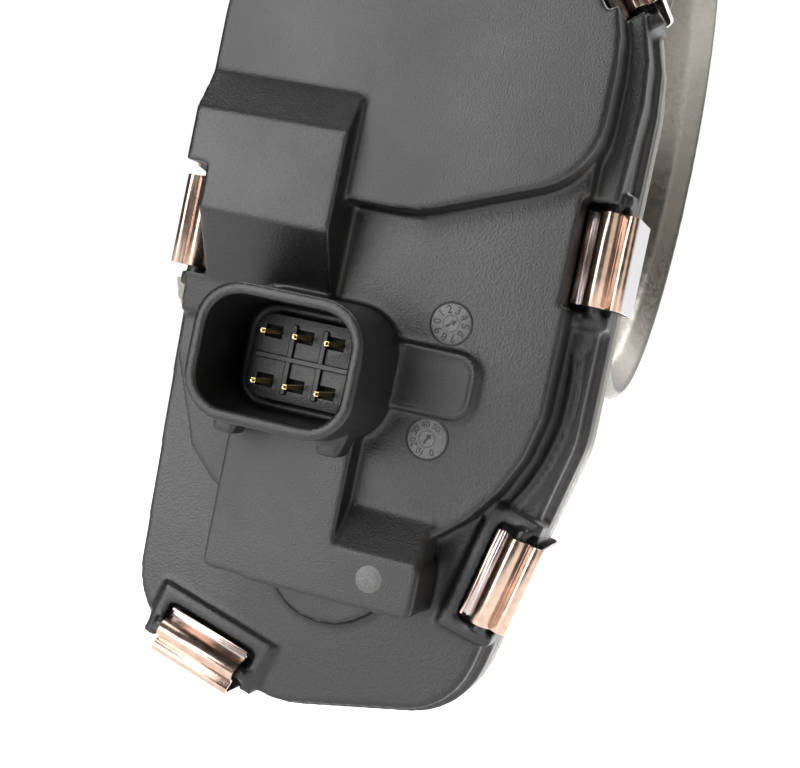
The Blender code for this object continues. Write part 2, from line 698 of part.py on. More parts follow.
def throttle_moving():
    axis = (SHAFT_X, 0.0, 0.0)
    shaft = cylinder("shaft", SHAFT_X, 0.0, SHAFT_R, -50.0, 61.0, 32)
    flat = box("flat", (SHAFT_X, -FLAT_HALF, -8.0), (SHAFT_X + 8.0, FLAT_HALF, 8.0))
    taps = [plate_hole(y) for y in (-16.0, 16.0)]
    finish(boolean(shaft, [flat] + taps), "throttle_shaft", "steel", axis)
    face = PLATE_THICK + GAP
    disc = turned(
        "disc",
        [(0.0, face), (PLATE_R - 0.3, face), (PLATE_R, face - 0.3), (PLATE_R, GAP), (0.0, GAP)],
        along_x(SHAFT_X),
        steps=64,
    )
    boolean(disc, [plate_hole(y) for y in (-16.0, 16.0)])
    finish(disc, "throttle_plate", "brass", axis)
    for i, y in enumerate((-16.0, 16.0)):
        top = face + GAP + 1.7
        head = [(0.0, top), (2.6, top), (3.4, top - 0.8), (3.4, face + GAP)]
        shank = [(1.7, face + GAP), (1.7, -4.0), (0.0, -4.0)]
        screw = turned(f"screw_{i}", head + shank, along_x(SHAFT_X, y), steps=20)
        cross = box(f"cross_{i}", (SHAFT_X + top - 0.9, y - 2.0, -0.4), (SHAFT_X + top + 1.0, y + 2.0, 0.4))
        finish(boolean(screw, [cross]), f"plate_screw_{i + 1}", "steel", axis)
    hole = circle(SHAFT_X, 0.0, SHAFT_R + GAP, 32)
    sector = prism("sector", [moved(sector_outline(), SHAFT_X, 0.0), hole], HIGH_GEAR_H[0], HIGH_GEAR_H[1])
    finish(sector, "sector_gear", "gear_plastic", axis)
    rotor = prism("rotor_ring", [circle(SHAFT_X, 0.0, 10.0, 32), hole], 59.5, 61.5)
    finish(rotor, "sensor_magnet", "steel", axis)


def plate_hole(y):
    profile = [(0.0, 8.0), (2.0, 8.0), (2.0, -8.0), (0.0, -8.0)]
    return turned(f"hole_{y}", profile, along_x(SHAFT_X, y), steps=20)


def bearings_and_seals():
    rings = (
        ("cover_side_bearing", NEAR_BEARING_R, 41.8, 46.6, "steel"),
        ("shaft_seal", NEAR_BEARING_R, 46.9, 48.4, "rubber"),
        ("far_side_bearing", FAR_BEARING_R, -50.3, -43.3, "steel"),
    )
    for name, radius, low, high, material in rings:
        outlines = [circle(SHAFT_X, 0.0, radius, 32), circle(SHAFT_X, 0.0, SHAFT_R + GAP, 32)]
        finish(prism(name + "_ring", outlines, low, high), name, material)
    edge = [(0.0, -51.0), (FAR_BEARING_R, -51.0), (FAR_BEARING_R, -54.0)]
    crown = [(FAR_BEARING_R - 2.0, -55.2), (0.0, -55.2)]
    plug = turned("plug", edge + crown, along_h(SHAFT_X, 0.0), steps=32)
    finish(plug, "shaft_end_plug", "steel")


def return_spring():
    """A torsion spring wound round the shaft between the bearing and the sector."""
    turns, per_turn, radius = 3, 16, 10.8
    curve = bpy.data.curves.new("coil", "CURVE")
    curve.dimensions = "3D"
    curve.bevel_depth = 0.55 * MM
    curve.bevel_resolution = 2
    curve.use_fill_caps = True
    spline = curve.splines.new("POLY")
    count = turns * per_turn
    spline.points.add(count)
    for i, point in enumerate(spline.points):
        angle = 2 * math.pi * i / per_turn
        height = 49.2 + (53.3 - 49.2) * i / count
        x = SHAFT_X + radius * math.cos(angle)
        point.co = (x * MM, -height * MM, radius * math.sin(angle) * MM, 1.0)
    holder = bpy.data.objects.new("coil_guide", curve)
    bpy.context.scene.collection.objects.link(holder)
    bpy.context.view_layer.update()
    mesh = bpy.data.meshes.new_from_object(holder.evaluated_get(bpy.context.evaluated_depsgraph_get()))
    bpy.data.objects.remove(holder)
    weld(mesh)
    return finish(place("coil", mesh), "return_spring", "steel")


def sensor_board():
    outline = rounded([(57.0, -16.0, 2.0), (57.0, 16.0, 2.0), (25.0, 16.0, 2.0), (25.0, -16.0, 2.0)], 45.0)
    finish(prism("board", [outline], 65.6, 67.2), "sensor_board", "board_green")
    chip = box("chip", (SHAFT_X - 3.0, -65.3, -3.0), (SHAFT_X + 3.0, -63.6, 3.0))
    finish(chip, "sensor_chip", "black_plastic")


def stop_screw():
    profile = [(0.0, 53.6), (3.4, 53.6), (3.4, 50.8), (2.0, 50.8), (2.0, 40.0), (0.0, 40.0)]
    screw = turned("stop", profile, along_h(60.0, 19.0), steps=6)
    return finish(screw, "stop_screw", "steel")


def build():
    throttle_housing()
    cover_gasket()
    gear_cover()
    for name, centre, out in CLIPS:
        cover_clip(name, centre, out)
    for index, x, z in pin_places():
        connector_pin(index, x, z)
    motor()
    motor_rotor()
    idler()
    throttle_moving()
    bearings_and_seals()
    return_spring()
    sensor_board()
    stop_screw()


build()
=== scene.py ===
"""Looks of an electronic throttle body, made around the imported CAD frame.

X runs along the air bore, Z is up, and the gear cover faces -Y, so a height towards it is h = -Y.
Sizes are in millimetres and are scaled by MM; lights and the floor are in metres.
"""

import json
import math

import bmesh
import bpy
from mathutils import Matrix, Vector


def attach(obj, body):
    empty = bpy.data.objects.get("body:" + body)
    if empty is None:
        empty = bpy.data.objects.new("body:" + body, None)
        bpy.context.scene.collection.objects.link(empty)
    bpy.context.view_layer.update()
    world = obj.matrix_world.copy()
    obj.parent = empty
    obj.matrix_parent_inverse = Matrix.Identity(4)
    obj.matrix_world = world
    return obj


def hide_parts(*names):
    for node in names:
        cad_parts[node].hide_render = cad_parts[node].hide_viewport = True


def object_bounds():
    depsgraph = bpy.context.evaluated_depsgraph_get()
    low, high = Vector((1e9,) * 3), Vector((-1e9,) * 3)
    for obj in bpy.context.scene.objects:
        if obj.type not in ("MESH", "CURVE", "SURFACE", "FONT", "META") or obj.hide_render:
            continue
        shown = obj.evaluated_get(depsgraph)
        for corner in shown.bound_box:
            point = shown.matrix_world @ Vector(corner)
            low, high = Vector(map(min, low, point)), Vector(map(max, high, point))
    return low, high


MM = 0.001
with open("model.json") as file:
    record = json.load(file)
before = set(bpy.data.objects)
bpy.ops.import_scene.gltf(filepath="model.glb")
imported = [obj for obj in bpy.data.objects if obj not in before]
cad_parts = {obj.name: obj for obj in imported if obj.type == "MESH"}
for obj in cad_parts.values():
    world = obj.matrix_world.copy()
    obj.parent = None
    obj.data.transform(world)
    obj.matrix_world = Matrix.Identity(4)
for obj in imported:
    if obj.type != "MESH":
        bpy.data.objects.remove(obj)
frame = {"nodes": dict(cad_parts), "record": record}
CAD_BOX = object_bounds()

# Heights of the cover's faces above the bore axis
LOW_H = 56.0
PLATEAU_H = 64.0
ISLAND_H = 67.6
BLOCK_H = 68.5
INSERT_H = 69.1

# The cover's outline, as (x, z) where there are two values
SHAFT_X = 41.0
RIM_HALF = 35.0
PLATEAU_CENTRE = (40.0, -45.0)
GATE_MARK = (50.6, -77.3)

# The plug socket: its centre, the pins' spacing, and the holes that lie beside the pins
SOCKET = (34.2, -47.8)
PIN_PITCH = 5.0
PIN_ROW = 7.5
HOLE_HALF_X, HOLE_HALF_Z = 1.4, 1.0
HOLE_SHIFT = 0.8
RIB_HALF = 0.45
RIB_THICK = 0.9

# The date dials
DIAL_R = 3.1
DIAL_X = 53.9
MONTH_Z = -37.5
BATCH_Z = -55.2
DIAL_FACE_H = 0.10
NUMBER_RADIUS = 2.15

# The clips are bent from one strip
CLIP_LENGTH = 14.5
CLIP_THICK = 0.55
CLIP_EDGE = 0.12

# Re-skinned mouldings: fineness in millimetres, rounds of smoothing and the share of faces kept
COVER_VOXEL = 0.45
CASTING_VOXEL = 0.6
SKIN_ROUNDS = 5
SKIN_KEEP = 0.4

# The camera looks along +Y with a long lens, turned a little to the right and rolled clockwise
CAMERA_YAW, CAMERA_PITCH, CAMERA_ROLL = 15.0, -2.3, 11.76
CAMERA_AIM = (48.0, -64.0, -48.0)
CAMERA_DISTANCE = 0.235
LENS, SENSOR = 69.75, 36.0

# The floor is well below the part, so that no shadow falls behind it
FLOOR_DROP = 0.10
FLOOR_RADIUS = 1.4
LIGHTS_AIM = (0.04, -0.06, -0.04)


# ---------------------------------------------------------------- camera


def camera():
    """The four turns take the world's axes to the camera's, one after another."""
    yaw, pitch, roll = (math.radians(a) for a in (CAMERA_YAW, CAMERA_PITCH, CAMERA_ROLL))
    data = bpy.data.cameras.new("camera")
    data.sensor_width = SENSOR
    data.lens = LENS
    data.clip_start = 0.01
    obj = bpy.data.objects.new("camera", data)
    bpy.context.scene.collection.objects.link(obj)
    aim = Vector(CAMERA_AIM) * MM
    cy, sy, cp, sp = math.cos(yaw), math.sin(yaw), math.cos(pitch), math.sin(pitch)
    cr, sr = math.cos(roll), math.sin(roll)
    about_up = Matrix(((cy, 0, -sy), (0, 1, 0), (sy, 0, cy)))
    about_side = Matrix(((1, 0, 0), (0, cp, sp), (0, -sp, cp)))
    about_view = Matrix(((cr, sr, 0), (-sr, cr, 0), (0, 0, 1)))
    upright = Matrix(((1, 0, 0), (0, 0, 1), (0, -1, 0)))
    turn = (about_view @ about_side @ about_up @ upright).transposed()
    eye = aim + turn @ Vector((0.0, 0.0, CAMERA_DISTANCE))
    obj.matrix_world = Matrix.Translation(eye) @ turn.to_4x4()
    bpy.context.scene.camera = obj


# ---------------------------------------------------------------- materials


def new_material(name, colour, rough, metal=0.0):
    material = bpy.data.materials.new(name)
    material.use_nodes = True
    tree = material.node_tree
    shader = tree.nodes["Principled BSDF"]
    shader.inputs["Base Color"].default_value = (*colour, 1.0)
    shader.inputs["Roughness"].default_value = rough
    shader.inputs["Metallic"].default_value = metal
    return material, tree, shader


def noise(tree, scale, detail=2.0, stretch=None):
    """Noise in object space; its scale is in cells per metre."""
    place = tree.nodes.new("ShaderNodeTexCoord")
    made = tree.nodes.new("ShaderNodeTexNoise")
    made.inputs["Scale"].default_value = scale
    made.inputs["Detail"].default_value = detail
    source = place.outputs["Object"]
    if stretch:
        mapping = tree.nodes.new("ShaderNodeMapping")
        mapping.inputs["Scale"].default_value = stretch
        tree.links.new(source, mapping.inputs["Vector"])
        source = mapping.outputs["Vector"]
    tree.links.new(source, made.inputs["Vector"])
    return made.outputs["Fac"]


def spread(tree, source, low, high, start=0.35, end=0.65):
    """The source stretched to run from low to high."""
    made = tree.nodes.new("ShaderNodeMapRange")
    made.inputs["From Min"].default_value = start
    made.inputs["From Max"].default_value = end
    made.inputs["To Min"].default_value = low
    made.inputs["To Max"].default_value = high
    tree.links.new(source, made.inputs["Value"])
    return made.outputs["Result"]


def tint(tree, source, dark, light, start=0.35, end=0.65):
    ramp = tree.nodes.new("ShaderNodeValToRGB")
    ramp.color_ramp.elements[0].position = start
    ramp.color_ramp.elements[0].color = (*dark, 1.0)
    ramp.color_ramp.elements[1].position = end
    ramp.color_ramp.elements[1].color = (*light, 1.0)
    tree.links.new(source, ramp.inputs["Fac"])
    return ramp.outputs["Color"]


def bump(tree, shader, source, depth, before=None):
    made = tree.nodes.new("ShaderNodeBump")
    made.inputs["Strength"].default_value = 1.0
    made.inputs["Distance"].default_value = depth * MM
    tree.links.new(source, made.inputs["Height"])
    if before:
        tree.links.new(before, made.inputs["Normal"])
    tree.links.new(made.outputs["Normal"], shader.inputs["Normal"])
    return made.outputs["Normal"]


def grained_plastic():
    """Glass-filled moulded plastic: black, with a fine spark-eroded grain."""
    material, tree, shader = new_material("grained_plastic", (0.03, 0.031, 0.033), 0.46)
    grain = noise(tree, 3400.0, 2.0)
    cloud = noise(tree, 30.0, 3.0)
    colour = tint(tree, grain, (0.003, 0.003, 0.0032), (0.011, 0.0112, 0.0116))
    tree.links.new(colour, shader.inputs["Base Color"])
    tree.links.new(spread(tree, cloud, 0.30, 0.46), shader.inputs["Roughness"])
    bump(tree, shader, grain, 0.055)
    return material


def smooth_plastic():
    material, tree, shader = new_material("smooth_plastic", (0.008, 0.008, 0.008), 0.5)
    grain = noise(tree, 1500.0, 2.0)
    tree.links.new(spread(tree, grain, 0.45, 0.6), shader.inputs["Roughness"])
    bump(tree, shader, grain, 0.012)
    return material


def dial_plastic():
    """The dial inserts' polished steel leaves a paler, smoother face in the moulding."""
    material, tree, shader = new_material("dial_plastic", (0.07, 0.07, 0.07), 0.42)
    grain = noise(tree, 3200.0, 2.0)
    colour = tint(tree, grain, (0.055, 0.055, 0.054), (0.10, 0.10, 0.098))
    tree.links.new(colour, shader.inputs["Base Color"])
    bump(tree, shader, grain, 0.015)
    return material


def cast_metal():
    """Satin die-cast aluminium with a fine matt skin."""
    material, tree, shader = new_material("cast_metal", (0.34, 0.32, 0.285), 0.4, 1.0)
    skin = noise(tree, 1200.0, 3.0)
    flow = noise(tree, 40.0, 3.0)
    colour = tint(tree, flow, (0.21, 0.198, 0.175), (0.27, 0.254, 0.225))
    tree.links.new(colour, shader.inputs["Base Color"])
    tree.links.new(spread(tree, skin, 0.36, 0.5), shader.inputs["Roughness"])
    bump(tree, shader, skin, 0.016)
    return material


def spring_metal():
    """Polished spring strip, tempered to bronze; its leg is painted pale silver by height, a
    painted reflection of the bright surroundings.
    """
    material, tree, shader = new_material("spring_metal", (0.8, 0.6, 0.48), 0.2, 1.0)
    place = tree.nodes.new("ShaderNodeNewGeometry")
    split = tree.nodes.new("ShaderNodeSeparateXYZ")
    tree.links.new(place.outputs["Position"], split.inputs["Vector"])
    # below the curl the leg is painted pale silver: a painted reflection of the bright surroundings
    leg, curl = -56.4 * MM, -57.6 * MM
    leg_reflection_blend = spread(tree, split.outputs["Y"], 0.0, 1.0, leg, curl)
    streak = noise(tree, 700.0, 2.0)
    bronze = tint(tree, streak, (0.46, 0.33, 0.26), (0.56, 0.41, 0.33))
    mix = tree.nodes.new("ShaderNodeMix")
    mix.data_type = "RGBA"
    tree.links.new(leg_reflection_blend, mix.inputs["Factor"])
    mix.inputs["A"].default_value = (0.72, 0.70, 0.72, 1.0)
    tree.links.new(bronze, mix.inputs["B"])
    tree.links.new(mix.outputs["Result"], shader.inputs["Base Color"])
    tree.links.new(spread(tree, streak, 0.20, 0.27), shader.inputs["Roughness"])
    return material


def turned_metal(name, dark, light, rough):
    """A machined finish: fine marks and a slightly uneven tone."""
    material, tree, shader = new_material(name, light, rough, 1.0)
    marks = noise(tree, 1800.0, 2.0)
    tree.links.new(tint(tree, marks, dark, light), shader.inputs["Base Color"])
    tree.links.new(spread(tree, marks, rough - 0.06, rough + 0.08), shader.inputs["Roughness"])
    bump(tree, shader, marks, 0.006)
    return material


def plain_moulding(name, dark, light, rough, depth=0.01):
    material, tree, shader = new_material(name, light, rough)
    fine = noise(tree, 1400.0, 3.0)
    tree.links.new(tint(tree, fine, dark, light), shader.inputs["Base Color"])
    tree.links.new(spread(tree, fine, rough - 0.06, rough + 0.06), shader.inputs["Roughness"])
    bump(tree, shader, fine, depth)
    return material


MATERIALS = {
    "cast_aluminium": cast_metal(),
    "black_plastic": grained_plastic(),
    "spring_steel": spring_metal(),
    "gold": turned_metal("contact_metal", (0.72, 0.54, 0.24), (0.95, 0.76, 0.38), 0.42),
    "steel": turned_metal("ground_steel", (0.46, 0.46, 0.47), (0.68, 0.68, 0.69), 0.28),
    "brass": turned_metal("plate_brass", (0.58, 0.42, 0.20), (0.80, 0.61, 0.33), 0.30),
    "gear_plastic": plain_moulding("gear_moulding", (0.50, 0.47, 0.38), (0.62, 0.58, 0.48), 0.45),
    "rubber": plain_moulding(
        "seal_rubber", (0.012, 0.012, 0.012), (0.024, 0.024, 0.025), 0.75, 0.02
    ),
    "board_green": plain_moulding("board_lacquer", (0.02, 0.12, 0.05), (0.04, 0.20, 0.09), 0.35),
}
DIAL = dial_plastic()
MARKS = smooth_plastic()
# Near-black and matt: painted shade for the floors of the socket's holes
HOLE_SHADE = plain_moulding("painted_hole_shade", (0.0015, 0.0015, 0.0015), (0.003, 0.003, 0.003), 0.9)


# ---------------------------------------------------------------- making pieces


def linked(name, mesh, matrix=None):
    obj = bpy.data.objects.new(name, mesh)
    bpy.context.scene.collection.objects.link(obj)
    obj.matrix_world = matrix or Matrix.Identity(4)
    return obj


def on_housing(obj, slot, material=None, replaces=()):
    """Gives a finished piece its material, and makes it ride on the housing."""
    obj.data.materials.clear()
    obj.data.materials.append(material or MATERIALS[slot])
    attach(obj, "housing")
    if replaces:
        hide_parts(*replaces)
    return obj


def evaluated(obj):
    """The object's mesh with its modifiers applied and its place written in."""
    bpy.context.view_layer.update()
    graph = bpy.context.evaluated_depsgraph_get()
    mesh = bpy.data.meshes.new_from_object(obj.evaluated_get(graph))
    mesh.transform(obj.matrix_world)
    return mesh


def baked(obj):
    mesh = evaluated(obj)
    name = obj.name
    bpy.data.objects.remove(obj)
    mesh.shade_smooth()
    return linked(name, mesh)


def at(x, z, h, degrees=0.0):
    """Local X along the bore, local Y up and local Z out of the cover, turned about local Z."""
    place = Matrix.Translation((x * MM, -h * MM, z * MM)) @ Matrix.Rotation(math.pi / 2, 4, "X")
    return place @ Matrix.Rotation(math.radians(degrees), 4, "Z")


def lathe(name, profile, matrix, steps=64):
    """A profile of (radius, height) points turned about local Z."""
    shape = bmesh.new()
    rows = [shape.verts.new((r * MM, 0.0, z * MM)) for r, z in profile]
    edges = [shape.edges.new(pair) for pair in zip(rows, rows[1:])]
    bmesh.ops.spin(
        shape,
        geom=rows + edges,
        axis=(0, 0, 1),
        cent=(0, 0, 0),
        angle=2 * math.pi,
        steps=steps,
        use_merge=True,
    )
    bmesh.ops.remove_doubles(shape, verts=shape.verts, dist=1e-6)
    bmesh.ops.recalc_face_normals(shape, faces=shape.faces)
    mesh = bpy.data.meshes.new(name)
    shape.to_mesh(mesh)
    shape.free()
    mesh.shade_smooth()
    mesh.set_sharp_from_angle(angle=math.radians(40))
    return linked(name, mesh, matrix)


def flat_solid(name, outlines, thick, edge, matrix):
    """A flat outline with holes, extruded to a thickness, with its edges rounded."""
    curve = bpy.data.curves.new(name, "CURVE")
    curve.dimensions = "2D"
    curve.fill_mode = "BOTH"
    curve.extrude = thick / 2 - edge
    curve.bevel_depth = edge
    curve.bevel_resolution = 2
    curve.offset = -edge
    for outline in outlines:
        spline = curve.splines.new("POLY")
        spline.points.add(len(outline) - 1)
        for point, (x, y) in zip(spline.points, outline):
            point.co = (x, y, 0.0, 1.0)
        spline.use_cyclic_u = True
    mesh = evaluated(linked(name + "_outline", curve))
    bpy.data.objects.remove(bpy.data.objects[name + "_outline"])
    mesh.transform(Matrix.Scale(MM, 4))
    mesh.shade_smooth()
    mesh.set_sharp_from_angle(angle=math.radians(50))
    return linked(name, mesh, matrix @ Matrix.Translation((0.0, 0.0, thick / 2 * MM)))


def oblong(x, y, half_x, half_y, radius=0.0, steps=6):
    """A rectangle with round corners, anticlockwise."""
    if radius <= 0.0:
        signs = ((1, -1), (1, 1), (-1, 1), (-1, -1))
        return [(x + a * half_x, y + b * half_y) for a, b in signs]
    points = []
    for corner, (a, b) in enumerate(((1, 1), (-1, 1), (-1, -1), (1, -1))):
        for k in range(steps + 1):
            turn = math.radians(90.0 * (corner + k / steps))
            px = x + a * (half_x - radius) + radius * math.cos(turn)
            points.append((px, y + b * (half_y - radius) + radius * math.sin(turn)))
    return points


def joined(name, objects):
    """Several objects as one mesh, in place."""
    shape = bmesh.new()
    for obj in objects:
        mesh = evaluated(obj)
        shape.from_mesh(mesh)
        bpy.data.objects.remove(obj)
    mesh = bpy.data.meshes.new(name)
    shape.to_mesh(mesh)
    shape.free()
    return linked(name, mesh)


def moulded(name, node, voxel, extras=()):
    """A copy of a casting with any added ribs, re-skinned so that its edges are rounded."""
    copy = linked(name + "_core", frame["nodes"][node].data.copy())
    whole = joined(name, [copy, *extras])
    skin = whole.modifiers.new("skin", "REMESH")
    skin.mode = "VOXEL"
    skin.voxel_size = voxel * MM
    soften = whole.modifiers.new("soften", "SMOOTH")
    soften.factor = 0.5
    soften.iterations = SKIN_ROUNDS
    thin = whole.modifiers.new("thin", "DECIMATE")
    thin.ratio = SKIN_KEEP
    return baked(whole)


def tube(name, points, radius, closed=False):
    """A round bead along (x, z, h) points."""
    curve = bpy.data.curves.new(name, "CURVE")
    curve.dimensions = "3D"
    curve.bevel_depth = radius * MM
    curve.bevel_resolution = 3
    curve.use_fill_caps = True
    spline = curve.splines.new("POLY")
    spline.points.add(len(points) - 1)
    for point, (x, z, h) in zip(spline.points, points):
        point.co = (x * MM, -h * MM, z * MM, 1.0)
    spline.use_cyclic_u = closed
    mesh = evaluated(linked(name + "_path", curve))
    bpy.data.objects.remove(bpy.data.objects[name + "_path"])
    shape = bmesh.new()
    shape.from_mesh(mesh)
    bmesh.ops.remove_doubles(shape, verts=shape.verts, dist=1e-6)
    shape.to_mesh(mesh)
    shape.free()
    return linked(name, mesh)


# ---------------------------------------------------------------- the cover


def arc_beads():
    """Two ridges that follow the gear space's round edge on the cover's low face."""
    made = []
    steps, first, swept = 30, -34.0, 46.0
    for index, (radius, height) in enumerate(((32.6, LOW_H), (34.0, LOW_H - 0.1))):
        points = []
        for k in range(steps + 1):
            turn = math.radians(first + swept * k / steps)
            x = PLATEAU_CENTRE[0] + radius * math.cos(turn)
            points.append((x, PLATEAU_CENTRE[1] + radius * math.sin(turn), height))
        made.append(tube(f"ridge_{index}", points, 0.55))
    return made


def pad_bead():
    """The raised edge round three sides of the pad beside the socket."""
    height, radius, start_x, corner_x, steps = PLATEAU_H + 0.6, 2.6, 46.5, 56.6, 6
    points = [(start_x, -42.0, height)]
    for corner, corner_z in enumerate((-44.6, -48.6)):
        for k in range(steps + 1):
            turn = math.radians(90.0 - 90.0 * (corner + k / steps))
            across, up = radius * math.cos(turn), radius * math.sin(turn)
            points.append((corner_x + across, corner_z + up, height))
    return tube("pad_bead", points + [(start_x, -51.2, height)], 0.5)


def gear_cover():
    cover = moulded("cover_moulding", "gear_cover", COVER_VOXEL, [*arc_beads(), pad_bead()])
    on_housing(cover, "black_plastic", replaces=["gear_cover"])


def socket_insert():
    """The raised block round the pins: a hole beside each pin, and a grid of ribs between them."""
    x, z = SOCKET
    thick = INSERT_H - ISLAND_H
    block = oblong(0.0, 0.0, 8.7, 6.5, 2.8)
    plate = flat_solid("insert_plate", [block], thick, 0.12, at(x, z, ISLAND_H + 0.05))
    holes = []
    for row in (-0.5, 0.5):
        for column in (-1, 0, 1):
            middle = (column * PIN_PITCH - HOLE_SHIFT, row * PIN_ROW)
            outline = oblong(*middle, HOLE_HALF_X, HOLE_HALF_Z)
            name = f"hole_{len(holes)}"
            holes.append(flat_solid(name, [outline], 3.0 * thick, 0.0, at(x, z, ISLAND_H - thick)))
            cut = plate.modifiers.new("hole", "BOOLEAN")
            cut.operation = "DIFFERENCE"
            cut.solver = "EXACT"
            cut.object = holes[-1]
    plate = baked(plate)
    plate.data.set_sharp_from_angle(angle=math.radians(40))
    for hole in holes:
        bpy.data.objects.remove(hole)
    # the upright ribs end a little lower than the level one, so no two faces share a plane
    runs = [(0.0, 8.0, RIB_HALF, 0.2)]
    runs += [(column * PIN_PITCH / 2, RIB_HALF, 5.4, 0.26) for column in (-1, 1)]
    ribs = []
    for index, (shift, half_x, half_z, sunk) in enumerate(runs):
        outline = oblong(0.0, 0.0, half_x, half_z, 0.35)
        place = at(x + shift, z, INSERT_H - sunk)
        ribs.append(flat_solid(f"insert_rib_{index}", [outline], RIB_THICK, 0.15, place))
    on_housing(joined("socket_insert", [plate, *ribs]), "black_plastic")
    # a near-black sheet under the holes: painted shade that makes them look deep
    well = oblong(0.0, 0.0, 7.4, 5.9, 2.1)
    hole_shade_sheet = flat_solid("socket_hole_shade", [well], 0.12, 0.02, at(x, z, ISLAND_H + 0.06))
    on_housing(hole_shade_sheet, "black_plastic", HOLE_SHADE)


def digits(name, text, size, place):
    curve = bpy.data.curves.new(name, "FONT")
    curve.body = text
    curve.size = size * MM
    curve.align_x = "CENTER"
    curve.align_y = "CENTER"
    curve.extrude = 0.05 * MM
    return baked(linked(name, curve, place))


def dial(name, x, z, labels, first, step, arrow, size):
    """A date dial left by a round insert: a sunk ring, numbers round it and a middle arrow."""
    top = DIAL_FACE_H
    face = [(0.0, top), (1.15, top), (1.2, 0.02), (1.3, 0.02), (1.35, top)]
    face += [(DIAL_R - 0.25, top), (DIAL_R - 0.1, 0.06), (DIAL_R, -0.2), (0.0, -0.2)]
    disc = lathe(f"{name}_face", face, at(x, z, PLATEAU_H))
    on_housing(disc, "black_plastic", DIAL)
    rim = lathe(f"{name}_rim", ring_profile(DIAL_R + 0.16, 0.14), at(x, z, PLATEAU_H))
    marks = []
    for index, label in enumerate(labels):
        degrees = first - step * index
        turn = math.radians(degrees)
        px = x + NUMBER_RADIUS * math.cos(turn)
        pz = z + NUMBER_RADIUS * math.sin(turn)
        place = at(px, pz, PLATEAU_H + 0.12, degrees - 90.0)
        marks.append(digits(f"{name}_mark_{index}", label, size, place))
    stem = [(-0.9, -0.12), (0.2, -0.12)]
    head = [(0.2, -0.42), (0.95, 0.0), (0.2, 0.42)]
    shape = [*stem, *head, *((x, -y) for x, y in reversed(stem))]
    place = at(x, z, PLATEAU_H + DIAL_FACE_H, arrow)
    marks.append(flat_solid(f"{name}_arrow", [shape], 0.1, 0.02, place))
    on_housing(joined(f"{name}_marks", [rim, *marks]), "black_plastic", MARKS)


def ring_profile(radius, thick):
    """A small round section for a raised ring."""
    points = []
    for k in range(9):
        turn = 2 * math.pi * k / 8
        points.append((radius + thick * math.cos(turn), thick * math.sin(turn)))
    return points


def gate_mark():
    """The flush disc where the plastic was fed in."""
    profile = [(0.0, 0.06), (1.9, 0.06), (2.05, 0.02), (2.1, -0.2), (0.0, -0.2)]
    on_housing(lathe("gate_mark", profile, at(*GATE_MARK, BLOCK_H)), "black_plastic", DIAL)


# ---------------------------------------------------------------- clips


# Clips on the upright sides of the rim: centre (x, z) and outward direction in degrees
SIDE_CLIPS = {
    "left": ((6.0, -29.5), 180.0),
    "right": ((76.0, -23.5), 0.0),
}
# Clips on the rim's slanted sides: the two corners of the side, and how far along it the clip is
SLANTED_CLIPS = {
    "lower_right": ((65.5, -97.5), (76.0, -52.0), 23.0),
    "lower_left": ((8.0, -95.5), (36.0, -103.5), 14.5),
}
# Clips round the crown, by their direction from the shaft in degrees
CROWN_CLIPS = {"upper_right": 38.0, "upper_left": 142.0}


def rim_frame(centre, outward):
    """Local X points out of the rim, local Y towards the cover's face and local Z along the rim."""
    turn = math.radians(outward)
    out = Vector((math.cos(turn), 0.0, math.sin(turn)))
    up = Vector((0.0, -1.0, 0.0))
    turned = Matrix((out, up, out.cross(up))).transposed().to_4x4()
    return Matrix.Translation((centre[0] * MM, 0.0, centre[1] * MM)) @ turned


def clip_places():
    """Where each clip grips the rim, and which way it faces."""
    places = dict(SIDE_CLIPS)
    for name, (first, last, along) in SLANTED_CLIPS.items():
        share = along / math.dist(first, last)
        centre = (first[0] + (last[0] - first[0]) * share, first[1] + (last[1] - first[1]) * share)
        places[name] = (centre, math.degrees(math.atan2(first[0] - last[0], last[1] - first[1])))
    for name, degrees in CROWN_CLIPS.items():
        turn = math.radians(degrees)
        centre = (SHAFT_X + RIM_HALF * math.cos(turn), RIM_HALF * math.sin(turn))
        places[name] = (centre, degrees)
    return places


def smooth_path(points, between=5):
    """A smooth curve through points, as points close together."""
    made = []
    for i in range(len(points) - 1):
        a, b, c, d = (Vector(points[min(max(i + k, 0), len(points) - 1)]) for k in (-1, 0, 1, 2))
        for k in range(between):
            t = k / between
            straight = 2 * b + (c - a) * t
            bend = (2 * a - 5 * b + 4 * c - d) * t**2
            swing = (3 * b - a - 3 * c + d) * t**3
            made.append(0.5 * (straight + bend + swing))
    return made + [Vector(points[-1])]


